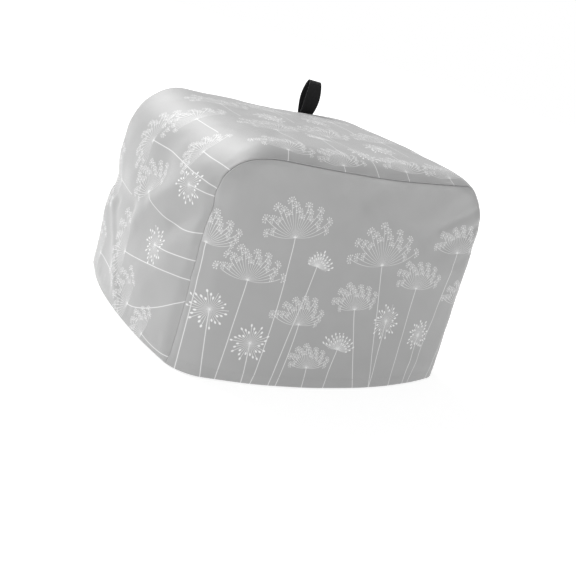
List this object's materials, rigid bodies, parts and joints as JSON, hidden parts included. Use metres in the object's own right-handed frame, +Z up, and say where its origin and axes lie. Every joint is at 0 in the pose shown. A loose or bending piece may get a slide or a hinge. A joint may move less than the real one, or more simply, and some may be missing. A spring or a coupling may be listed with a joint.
{
  "type": "toaster cover",
  "caption": "Fitted cloth cover for a two-slice toaster, open underneath, with rounded shoulders, a bellied hem and a ribbon loop at the back of the top to lift it off by.",
  "frame": {"origin": "under the middle of the top, on the inside of the cloth, where the cover bears on what it covers", "axes": "+X along the length towards the right end, +Y towards the back, +Z up"},
  "size_m": [0.3276, 0.264, 0.241],
  "materials": {
    "printed_cloth": "smooth plain-weave polyester, mid grey with a fine white line print of umbels, soft satin sheen",
    "ribbon": "black ribbed ribbon"
  },
  "bodies": {
    "root": {"gusset": "printed_cloth", "front_panel": "printed_cloth", "back_panel": "printed_cloth", "loop": "ribbon"}
  },
  "joints": []
}
